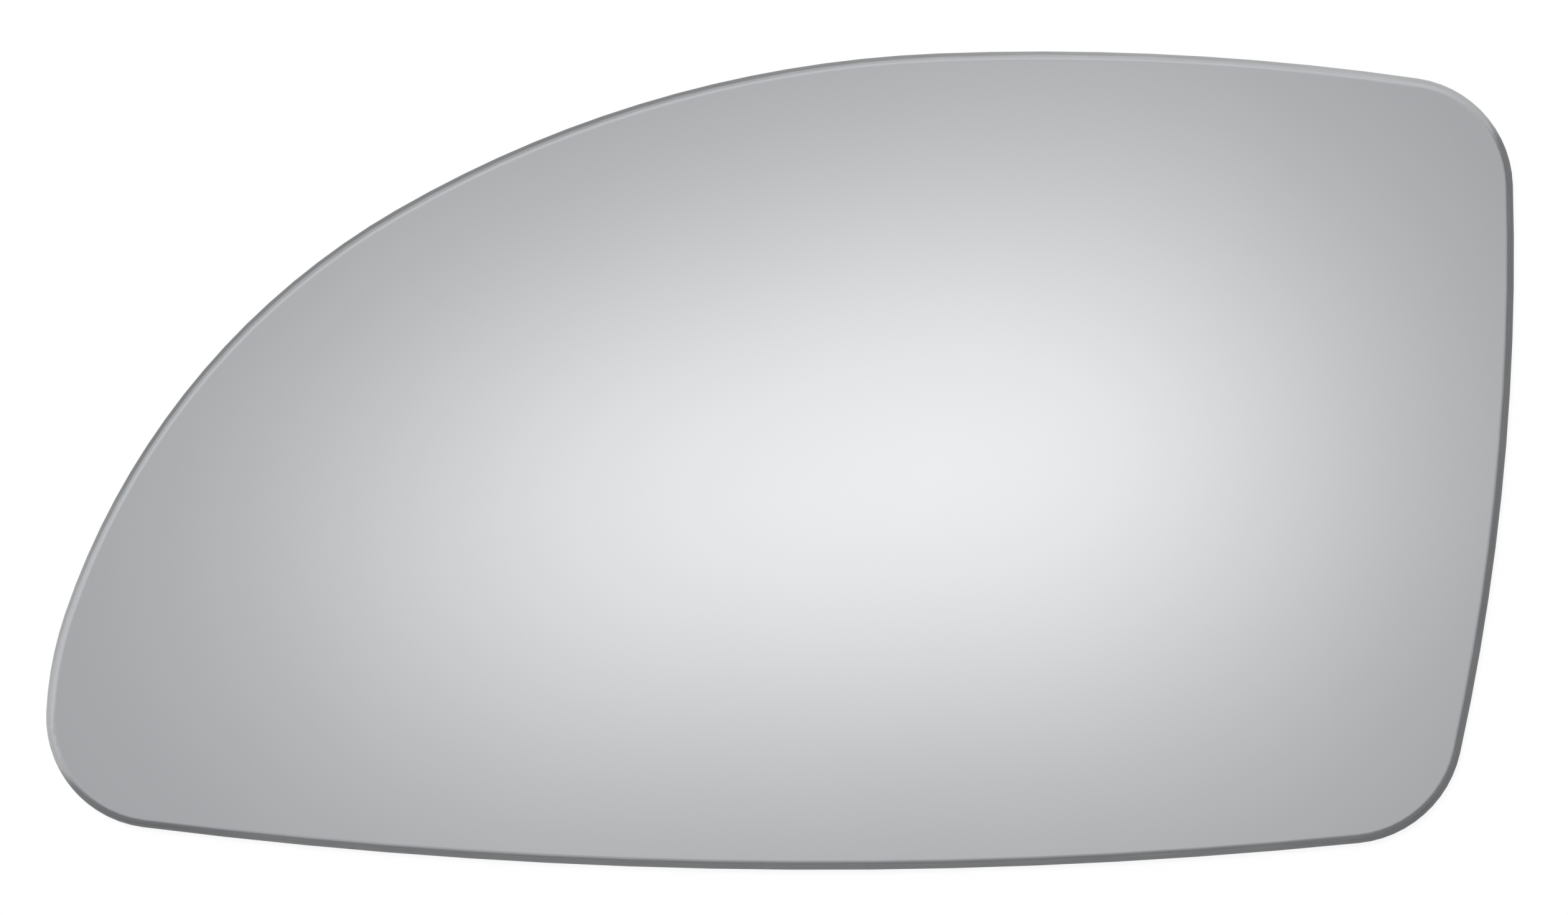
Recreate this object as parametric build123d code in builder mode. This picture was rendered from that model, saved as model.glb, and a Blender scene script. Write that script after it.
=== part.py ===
"""Left-hand door mirror glass: one flat pane with a tapered outline and a ground rim.

Millimetres. The pane lies on its back with the mirrored face up (+Z) and the back at Z = 0.
+X runs from the outboard nose to the inboard side, +Y from the sill up to the crown.
"""

import os

from build123d import *

# Overall size
glass_length = 172.0  # outboard nose to inboard side
glass_height = 95.9  # lowest point of the sill to the top of the crown
glass_thickness = 2.4

# Long sides, all bowed outwards
sill_radius = 635.0
inboard_radius = 272.0
crown_radius = 310.0

# Sharp corners that the sides run to before they are rounded
nose_setback = 1.2  # in from the outboard end
nose_rise = 6.4  # up from the lowest point of the sill
heel_setback = 8.6  # in from the inboard end
heel_rise = 4.2
brow_setback = 0.7  # in from the inboard end
brow_drop = 4.9  # down from the top of the crown

# Corner rounds
nose_radius = 13.0
heel_radius = 13.5
brow_radius = 13.0

# Points where the top edge passes into its next, tighter curve on the way down to the nose
shoulder_setback = 67.5  # in from the inboard end
shoulder_drop = 0.25
sweep_setback = 41.0  # in from the outboard end
sweep_drop = 18.6
flank_setback = 2.2  # in from the outboard end
flank_rise = 30.0

# Ground rim: the round takes the whole thickness apart from a narrow land half way up
rim_land = 0.1
rim_round = (glass_thickness - rim_land) / 2

# Places worked out from the sizes above
outboard_end = -glass_length / 2
inboard_end = glass_length / 2
sill_line = -glass_height / 2
crown_line = glass_height / 2

nose_corner = (outboard_end + nose_setback, sill_line + nose_rise)
heel_corner = (inboard_end - heel_setback, sill_line + heel_rise)
brow_corner = (inboard_end - brow_setback, crown_line - brow_drop)
shoulder_start = (inboard_end - shoulder_setback, crown_line - shoulder_drop)
sweep_start = (outboard_end + sweep_setback, crown_line - sweep_drop)
flank_start = (outboard_end + flank_setback, sill_line + flank_rise)

corner_rounds = {
    nose_corner: nose_radius,
    heel_corner: heel_radius,
    brow_corner: brow_radius,
}

with BuildPart() as mirror_glass:
    with BuildSketch() as outline:
        with BuildLine():
            RadiusArc(nose_corner, heel_corner, -sill_radius)
            RadiusArc(heel_corner, brow_corner, -inboard_radius)
            crown = RadiusArc(brow_corner, shoulder_start, -crown_radius)
            shoulder = TangentArc(shoulder_start, sweep_start, tangent=crown % 1)
            sweep = TangentArc(sweep_start, flank_start, tangent=shoulder % 1)
            TangentArc(flank_start, nose_corner, tangent=sweep % 1)
        make_face()
        for corner, radius in corner_rounds.items():
            fillet(outline.vertices().sort_by_distance(corner)[0], radius)
    extrude(amount=glass_thickness)

    # The rim is ground round on both faces
    flat_faces = mirror_glass.faces().filter_by(Axis.Z)
    fillet(flat_faces.edges(), rim_round)

mirror_glass.part.label = "mirror_glass"

os.makedirs("parts", exist_ok=True)
export_step(mirror_glass.part, "parts/mirror_glass.step")

size = mirror_glass.part.bounding_box().size
face = mirror_glass.faces().sort_by(Axis.Z)[-1]
print(f"glass {size.X:.2f} x {size.Y:.2f} x {size.Z:.2f} mm, {mirror_glass.part.volume:.0f} mm3")
print(f"mirrored face {face.area:.0f} mm2")
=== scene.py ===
"""Looks of the door mirror glass: silvered face, ground rim and lacquered back, in a plain studio.

The glass lies on its back on a pale floor and the camera looks straight down on the mirrored face.
Lengths are metres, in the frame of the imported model.
"""

import math

import bpy
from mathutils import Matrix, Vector


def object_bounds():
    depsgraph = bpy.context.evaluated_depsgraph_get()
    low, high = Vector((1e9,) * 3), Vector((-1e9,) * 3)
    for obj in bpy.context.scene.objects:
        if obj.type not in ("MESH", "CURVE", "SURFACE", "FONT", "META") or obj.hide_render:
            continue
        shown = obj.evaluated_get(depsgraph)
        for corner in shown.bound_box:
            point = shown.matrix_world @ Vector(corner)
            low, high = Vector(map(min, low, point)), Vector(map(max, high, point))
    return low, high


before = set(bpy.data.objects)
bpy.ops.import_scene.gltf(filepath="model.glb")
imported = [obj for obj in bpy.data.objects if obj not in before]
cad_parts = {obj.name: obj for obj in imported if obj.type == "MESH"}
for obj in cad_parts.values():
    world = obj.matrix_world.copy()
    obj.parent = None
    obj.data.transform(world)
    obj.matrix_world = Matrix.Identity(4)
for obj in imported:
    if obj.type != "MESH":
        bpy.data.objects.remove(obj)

cad_low, cad_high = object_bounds()

MM = 0.001
QUARTER_TURN = math.pi / 2
LEVEL_PART = (1, 1, 0)  # multiplied by a vector, keeps its level part
WHITE = (1, 1, 1, 1)

# The photograph's frame and the edges of the glass in it, in pixels
IMAGE_WIDTH, IMAGE_HEIGHT = 2520, 1470
GLASS_LEFT, GLASS_RIGHT = 74.4, 2433.0
GLASS_TOP, GLASS_BOTTOM = 82.6, 1397.3

# Camera
LENS = 200.0
SENSOR = 36.0
CLIP_START = 0.01

# Heights on the glass
face_z = cad_high.z
back_z = cad_low.z
middle_z = (face_z + back_z) / 2
half_thickness = (face_z - back_z) / 2

# Silvering: how far down the rim it reaches, and the stretch over which it breaks up into specks
SILVER_DEPTH = 0.17 * MM
SILVER_FEATHER = 0.12 * MM
SPECK_EDGE = 0.012 * MM

# Other finishes: where each begins and where it is whole, below the face or above the back
POLISH_DEPTHS = (0.004 * MM, 0.001 * MM)
RELIEF_DEPTHS = (SILVER_DEPTH, SILVER_DEPTH * 2)
LACQUER_HEIGHTS = (0.05 * MM, 0.01 * MM)

# Patterns: waves to the metre and levels of detail, all noise with its middle range spread from 0 to 1
NOISE_RANGE = (0.3, 0.7)
STREAKS_ALONG = 150.0
STREAKS_ACROSS = 12.0  # to the radian round the rim
STREAKS = {"scale": 1.0, "detail": 5.0}  # at a place multiplied by the two above
GRAIN = {"scale": 9000.0, "detail": 2.0}
GRAIN_SHARE = 0.35  # of the grinding marks, the rest is streaks
SPECKS = {"scale": 70000.0, "detail": 0.0}
DRIFT = {"scale": 45.0, "detail": 3.0}
ORANGE_PEEL = {"scale": 800.0, "detail": 2.0}
ORANGE_PEEL_SHARE = 0.4  # of the lacquer's mottling, the rest is drift

# Colours, each from its darkest to its palest
COARSE_GROUND = ((0.109, 0.113, 0.115, 1), (0.177, 0.182, 0.184, 1))
# Painted highlight: paler colour for the rim where light on it is painted in
PAINTED_HIGHLIGHT_COLOURS = ((0.31, 0.315, 0.318, 1), (0.395, 0.402, 0.405, 1))
SILVER = ((0.855, 0.86, 0.865, 1), (0.866, 0.869, 0.872, 1))
LACQUER = ((0.10, 0.105, 0.11, 1), (0.15, 0.155, 0.16, 1))

# Roughness, each from its smoothest to its roughest
MIRROR_ROUGHNESS = (0.012, 0.022)
SATIN_ROUGHNESS = (0.18, 0.26)
FROSTED_ROUGHNESS = (0.42, 0.64)
LACQUER_ROUGHNESS = (0.36, 0.48)

# Relief of the grinding marks and the orange peel
RELIEF_STRENGTH = 0.4
RELIEF_HEIGHT = 0.02 * MM
PATTERN_MEAN = 0.5

# Painted highlight: the rim's colour is painted paler in place of the light on it, towards the face and the
# two ends of the long curved edge above a line from nose to brow, on the light side, and a little along the
# sill below it
BROW_HEADING = math.radians(24.4)
PALE_INBOARD = (-5 * MM, 105 * MM)  # from the centre along the line
PALE_OUTBOARD = (-66 * MM, -94 * MM)
PALE_ABOVE = (-1.2 * MM, 2.8 * MM)  # from the line, square to it
PALE_TOWARDS_FACE = (0.73, 0.92)  # share of the half thickness above the middle
PALE_TOWARDS_FACE_SHARE = 0.7
PALE_SILL = (74 * MM, 54 * MM)  # from the middle of the glass, to either side
PALE_SILL_SHARE = 0.19

# Studio lamps overhead, placed by where their reflections lie on the face
LAMPS = (
    {"centre": (-12.8 * MM, -4.9 * MM), "reach": (48.0 * MM, 34.9 * MM), "turn": 0.235, "light": 0.444},
    {"centre": (38.7 * MM, 0.6 * MM), "reach": (38.6 * MM, 38.6 * MM), "turn": 0.0, "light": 0.371},
)
LAMP_COLOUR = (1.01, 1.0, 0.99, 1)
LAMPS_ABOVE = (0.6, 0.9)  # sine of the elevation where their light begins and where it is whole

# Studio dome: grey and cool, with a long strip light across one side of it and a dark flag on the other.
# Sides are compass directions, from +X towards +Y.
LIGHT_SIDE = math.radians(125)
FLAG_SIDE = math.radians(305)
DOME_COLOUR = (0.975, 0.995, 1.03, 1)
DOME_LIGHT = (0.403, 0.465)  # overhead and round the sides
DOME_SIDES = (0.085, 0.20)  # sine of the angle from the zenith
STRIP_LIGHT = 0.155
STRIP_TOP = (0.09, 0.33)  # share of a direction that points to the light side
STRIP_FOOT = (0.45, 1.02)
STRIP_FOOT_LOSS = 0.40
FLAG_LOSS = 0.30
FLAG_TOP = (0.27, 0.68)  # sine of the angle from the zenith
FLAG_ENDS = (0.0, 0.25)  # cosine of the turn from the flag's side
FLAG_PEAK = (0.8, 1.0)
FLAG_PEAK_RISE = 1.9

# White paper round the horizon, whitest at its foot, higher on the light side and to the left of it
PAPER_LIGHT = 0.8
PAPER_FOOT = 0.08  # sine of the elevation
PAPER_TOP = (0.27, 0.34)
PAPER_TILT = 0.09
PAPER_SLANT = 0.22

# Key light, which only shades the matt surfaces
KEY_ELEVATION = math.radians(70)
KEY_SOFTNESS = math.radians(20)
KEY_LIGHT = 2.4

# Floor
FLOOR_HALF = 6.0
FLOOR_GAP = 0.02 * MM
FLOOR_PAINT = (0.92, 0.92, 0.92, 1)
FLOOR_WHITE_SHARE = 0.9

# Sockets of the Mix node, which have the same names for numbers and colours
MIX_SHARE = 0
MIX_NUMBERS = (2, 3)
MIX_COLOURS = (6, 7)
MIXED_NUMBER = 0
MIXED_COLOUR = 2


class Nodes:
    """Adds nodes to one node tree and links their sockets in the same call."""

    def __init__(self, tree):
        self.tree = tree
        tree.nodes.clear()

    def add(self, kind, inputs=(), **settings):
        """New node with its settings, and a link or a constant on each input named."""
        made = self.tree.nodes.new(kind)
        for name, value in settings.items():
            setattr(made, name, value)
        for name, value in dict(inputs).items():
            self.feed(made.inputs[name], value)
        return made

    def feed(self, socket, value):
        if isinstance(value, bpy.types.NodeSocket):
            self.tree.links.new(value, socket)
        else:
            socket.default_value = value

    def math(self, operation, *values):
        made = self.add("ShaderNodeMath", dict(enumerate(values)), operation=operation)
        return made.outputs[0]

    def vector(self, operation, *values):
        made = self.add("ShaderNodeVectorMath", dict(enumerate(values)), operation=operation)
        gives_number = operation in ("DOT_PRODUCT", "LENGTH")
        return made.outputs["Value" if gives_number else "Vector"]

    def ramp(self, value, low, high, start=0.0, end=1.0):
        """Smooth step of value from low to high, giving start to end."""
        inputs = {"Value": value, "From Min": low, "From Max": high, "To Min": start, "To Max": end}
        made = self.add("ShaderNodeMapRange", inputs, interpolation_type="SMOOTHSTEP")
        return made.outputs["Result"]

    def mix(self, share, first, second, kind, sockets, result):
        inputs = {MIX_SHARE: share, sockets[0]: first, sockets[1]: second}
        return self.add("ShaderNodeMix", inputs, data_type=kind).outputs[result]

    def blend(self, share, first, second):
        """Mix of two colours."""
        return self.mix(share, first, second, "RGBA", MIX_COLOURS, MIXED_COLOUR)

    def between(self, share, first, second):
        """Mix of two numbers."""
        return self.mix(share, first, second, "FLOAT", MIX_NUMBERS, MIXED_NUMBER)

    def noise(self, place, scale, detail):
        """Noise with its middle range spread from 0 to 1."""
        inputs = {"Vector": place, "Scale": scale, "Detail": detail}
        return self.ramp(self.add("ShaderNodeTexNoise", inputs).outputs["Fac"], *NOISE_RANGE)


def compass(side):
    """Level unit vector towards a side."""
    return (math.cos(side), math.sin(side), 0)


def grinding_marks(n, place, level):
    """Streaks that run along the rim, fine across it, mixed with the grain of the wheel.

    The streaks are noise at x, y and the angle round the rim, each times its waves. The angle is the arc
    sine of the level, which runs from -1 at the back to 1 at the face.
    """
    round_rim = n.math("MULTIPLY", n.math("ARCSINE", level), STREAKS_ACROSS)
    across = n.add("ShaderNodeCombineXYZ", {"Z": round_rim}).outputs[0]
    along = n.vector("MULTIPLY", place, (STREAKS_ALONG, STREAKS_ALONG, 0))
    streaks = n.noise(n.vector("ADD", along, across), **STREAKS)
    return n.between(GRAIN_SHARE, streaks, n.noise(place, **GRAIN))


def painted_highlight_share(n, place, x, level):
    """Share of the painted highlight, the paler rim colour that stands in for light.

    Above the line from nose to brow it grows towards the ends and the face. Below the line it lies along
    the sill.
    """
    along = n.vector("DOT_PRODUCT", place, compass(BROW_HEADING))
    ends = n.math("MAXIMUM", n.ramp(along, *PALE_INBOARD), n.ramp(along, *PALE_OUTBOARD))
    near_face = n.ramp(level, *PALE_TOWARDS_FACE, 0.0, PALE_TOWARDS_FACE_SHARE)
    along_sill = n.ramp(n.math("ABSOLUTE", x), *PALE_SILL, 0.0, PALE_SILL_SHARE)
    from_line = n.vector("DOT_PRODUCT", place, compass(BROW_HEADING + QUARTER_TURN))
    above = n.ramp(from_line, *PALE_ABOVE)
    return n.between(above, along_sill, n.math("ADD", ends, near_face))


def silver_share(n, place, height):
    """Silvering of the face and the top of the rim. Noise added to the height breaks up its edge."""
    edge = face_z - SILVER_DEPTH + SILVER_FEATHER
    lifted = n.math("MULTIPLY_ADD", n.noise(place, **SPECKS), SILVER_FEATHER, height)
    return n.ramp(lifted, edge, edge + SPECK_EDGE)


def silvered_glass():
    """Silvered face, satin silvering that breaks up over the rim, bare ground glass below it with a painted
    highlight, grey back.
    """
    material = bpy.data.materials.new("silvered_glass")
    material.use_nodes = True
    n = Nodes(material.node_tree)

    place = n.add("ShaderNodeTexCoord").outputs["Object"]
    axes = n.add("ShaderNodeSeparateXYZ", {"Vector": place}).outputs
    height = axes["Z"]
    level = n.math("DIVIDE", n.math("SUBTRACT", height, middle_z), half_thickness)

    # Patterns
    marks = grinding_marks(n, place, level)
    drift = n.noise(place, **DRIFT)
    peel = n.noise(place, **ORANGE_PEEL)
    mottling = n.between(ORANGE_PEEL_SHARE, drift, peel)

    # Where each finish lies
    silvered = silver_share(n, place, height)
    polished = n.ramp(height, *(face_z - depth for depth in POLISH_DEPTHS))
    relieved = n.ramp(height, *(face_z - depth for depth in RELIEF_DEPTHS))
    lacquered = n.ramp(height, *(back_z + rise for rise in LACQUER_HEIGHTS))

    # Colour
    coarse = n.blend(marks, *COARSE_GROUND)
    # Painted highlight: the ground rim is painted paler on its side towards the light and along the sill
    painted_lit_side = n.blend(marks, *PAINTED_HIGHLIGHT_COLOURS)
    rim_ground_and_painted_highlight = n.blend(painted_highlight_share(n, place, axes["X"], level), coarse, painted_lit_side)
    front = n.blend(silvered, rim_ground_and_painted_highlight, n.blend(drift, *SILVER))
    colour = n.blend(lacquered, front, n.blend(mottling, *LACQUER))

    # Roughness
    frosted = n.between(marks, *FROSTED_ROUGHNESS)
    satin = n.between(marks, *SATIN_ROUGHNESS)
    mirror = n.between(drift, *MIRROR_ROUGHNESS)
    rough_front = n.between(polished, n.between(silvered, frosted, satin), mirror)
    roughness = n.between(lacquered, rough_front, n.between(peel, *LACQUER_ROUGHNESS))

    # Relief, none on the silvering
    pattern = n.math("SUBTRACT", n.between(lacquered, marks, peel), PATTERN_MEAN)
    relief = n.add(
        "ShaderNodeBump",
        {
            "Height": n.math("MULTIPLY", pattern, relieved),
            "Strength": RELIEF_STRENGTH,
            "Distance": RELIEF_HEIGHT,
        },
    )

    shader = n.add(
        "ShaderNodeBsdfPrincipled",
        {
            "Base Color": colour,
            "Metallic": silvered,
            "Roughness": roughness,
            "Normal": relief.outputs["Normal"],
        },
    )
    n.add("ShaderNodeOutputMaterial", {"Surface": shader.outputs["BSDF"]})
    return material


def lamp_glow(n, direction, up, lamp, view_height, view_point):
    """Brightness of one lamp: exp(-d^2), with d the distance from its centre on a plane one unit up."""
    overhead = n.vector("DIVIDE", direction, up)
    local = n.add(
        "ShaderNodeMapping",
        {
            "Vector": overhead,
            "Location": [(c - p) / view_height for c, p in zip(lamp["centre"], view_point)] + [0],
            "Rotation": (0, 0, lamp["turn"]),
            "Scale": [reach / view_height for reach in lamp["reach"]] + [1],
        },
        vector_type="TEXTURE",
    ).outputs[0]
    flat = n.vector("MULTIPLY", local, LEVEL_PART)
    falloff = n.math("POWER", math.exp(-1), n.vector("DOT_PRODUCT", flat, flat))
    return n.math("MULTIPLY", falloff, lamp["light"])


def dome_brightness(n, direction, outwards, from_zenith):
    """Grey dome, a little darker overhead, plus the strip light, less the flag.

    The strip fades again towards its foot. The flag darkens what lies below its top, which is level and
    rises to a peak in the middle.
    """
    plain_dome = n.ramp(from_zenith, *DOME_SIDES, *DOME_LIGHT)

    to_light = n.vector("DOT_PRODUCT", direction, compass(LIGHT_SIDE))
    strip = n.ramp(to_light, *STRIP_TOP, 0.0, STRIP_LIGHT)
    strip_foot = n.ramp(to_light, *STRIP_FOOT, 0.0, -STRIP_FOOT_LOSS)

    to_flag = n.vector("DOT_PRODUCT", outwards, compass(FLAG_SIDE))
    between_ends = n.ramp(to_flag, *FLAG_ENDS)
    peak = n.ramp(to_flag, *FLAG_PEAK, 1.0, FLAG_PEAK_RISE)
    below_top = n.ramp(n.math("MULTIPLY", from_zenith, peak), *FLAG_TOP, 0.0, -FLAG_LOSS)
    flagged = n.math("MULTIPLY_ADD", below_top, between_ends, plain_dome)
    return n.math("ADD", flagged, n.math("ADD", strip, strip_foot))


def share_above_paper(n, up, outwards):
    """0 on the paper and 1 above it.

    At a turn t from the light side, its top lies (PAPER_TILT + PAPER_SLANT sin t) cos t above PAPER_TOP.
    """
    cosine = n.vector("DOT_PRODUCT", outwards, compass(LIGHT_SIDE))
    sine = n.vector("DOT_PRODUCT", outwards, compass(LIGHT_SIDE + QUARTER_TURN))
    rise = n.math("MULTIPLY", n.math("MULTIPLY_ADD", sine, PAPER_SLANT, PAPER_TILT), cosine)
    return n.ramp(n.math("SUBTRACT", up, rise), *PAPER_TOP)


def studio_world(view_height, view_point):
    """Sky of the studio as a function of direction.

    Two soft lamps hang overhead, with the dome round them and the paper at the horizon.
    """
    world = bpy.data.worlds.new("studio")
    world.use_nodes = True
    n = Nodes(world.node_tree)

    direction = n.add("ShaderNodeTexCoord").outputs["Generated"]
    up = n.add("ShaderNodeSeparateXYZ", {"Vector": direction}).outputs["Z"]
    flat = n.vector("MULTIPLY", direction, LEVEL_PART)
    outwards = n.vector("NORMALIZE", flat)
    from_zenith = n.vector("LENGTH", flat)

    glows = [lamp_glow(n, direction, up, lamp, view_height, view_point) for lamp in LAMPS]
    lamps = n.math("MULTIPLY", n.math("ADD", *glows), n.ramp(up, *LAMPS_ABOVE))

    above_paper = share_above_paper(n, up, outwards)
    paper = n.ramp(up, 0.0, PAPER_FOOT, 1.0, PAPER_LIGHT)
    dome = dome_brightness(n, direction, outwards, from_zenith)
    brightness = n.between(above_paper, paper, dome)
    tint = n.blend(above_paper, WHITE, DOME_COLOUR)

    dome_light = n.add("ShaderNodeBackground", {"Color": tint, "Strength": brightness}).outputs[0]
    lamp_light = n.add("ShaderNodeBackground", {"Color": LAMP_COLOUR, "Strength": lamps}).outputs[0]
    sky = n.add("ShaderNodeAddShader", {0: dome_light, 1: lamp_light}).outputs[0]
    n.add("ShaderNodeOutputWorld", {"Surface": sky})
    bpy.context.scene.world = world


def key_light():
    """Soft key light from the light side. Mirrors don't show it, as the dome stands for it there."""
    lamp = bpy.data.lights.new("key", "SUN")
    lamp.energy = KEY_LIGHT
    lamp.angle = KEY_SOFTNESS
    key = bpy.data.objects.new("key", lamp)
    towards = Vector(compass(LIGHT_SIDE)) * math.cos(KEY_ELEVATION)
    towards.z = math.sin(KEY_ELEVATION)
    key.rotation_mode = "QUATERNION"
    key.rotation_quaternion = (-towards).to_track_quat("-Z", "Y")
    key.visible_glossy = False
    bpy.context.scene.collection.objects.link(key)


def floor_material():
    """Pale paint, which takes the shadow, mixed with plain white for rays that see the floor."""
    material = bpy.data.materials.new("floor")
    material.use_nodes = True
    n = Nodes(material.node_tree)
    path = n.add("ShaderNodeLightPath").outputs
    mirrored = n.math("MAXIMUM", path["Is Glossy Ray"], path["Is Transmission Ray"])
    seen = n.math("MAXIMUM", path["Is Camera Ray"], mirrored)
    paint = n.add("ShaderNodeBsdfDiffuse", {"Color": FLOOR_PAINT}).outputs[0]
    glow = n.add("ShaderNodeEmission", {"Color": WHITE, "Strength": 1.0}).outputs[0]
    share = n.math("MULTIPLY", seen, FLOOR_WHITE_SHARE)
    surface = n.add("ShaderNodeMixShader", {0: share, 1: paint, 2: glow}).outputs[0]
    n.add("ShaderNodeOutputMaterial", {"Surface": surface})
    return material


def floor_plane():
    """Square floor just under the glass."""
    mesh = bpy.data.meshes.new("floor")
    z = back_z - FLOOR_GAP
    corners = [(x * FLOOR_HALF, y * FLOOR_HALF, z) for x, y in ((-1, -1), (1, -1), (1, 1), (-1, 1))]
    mesh.from_pydata(corners, [], [(0, 1, 2, 3)])
    mesh.materials.append(floor_material())
    floor = bpy.data.objects.new("floor", mesh)
    bpy.context.scene.collection.objects.link(floor)


def camera_above():
    """Camera straight above the face, so that the glass fills the frame as it does in the photograph.

    Gives the camera's height over the face and the point below it.
    """
    scale = (cad_high.x - cad_low.x) / (GLASS_RIGHT - GLASS_LEFT)
    centre = (cad_low + cad_high) / 2
    x = centre.x + (IMAGE_WIDTH / 2 - (GLASS_LEFT + GLASS_RIGHT) / 2) * scale
    y = centre.y - (IMAGE_HEIGHT / 2 - (GLASS_TOP + GLASS_BOTTOM) / 2) * scale
    distance = IMAGE_WIDTH * scale * LENS / SENSOR

    data = bpy.data.cameras.new("camera")
    data.lens = LENS
    data.sensor_width = SENSOR
    data.clip_start = CLIP_START
    camera = bpy.data.objects.new("camera", data)
    camera.location = (x, y, middle_z + distance)
    bpy.context.scene.collection.objects.link(camera)
    bpy.context.scene.camera = camera
    return camera.location.z - face_z, (x, y)


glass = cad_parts["mirror_glass"]
glass.material_slots[0].material = silvered_glass()

view_height, view_point = camera_above()
studio_world(view_height, view_point)
key_light()
floor_plane()
bpy.context.scene.view_settings.view_transform = "Standard"
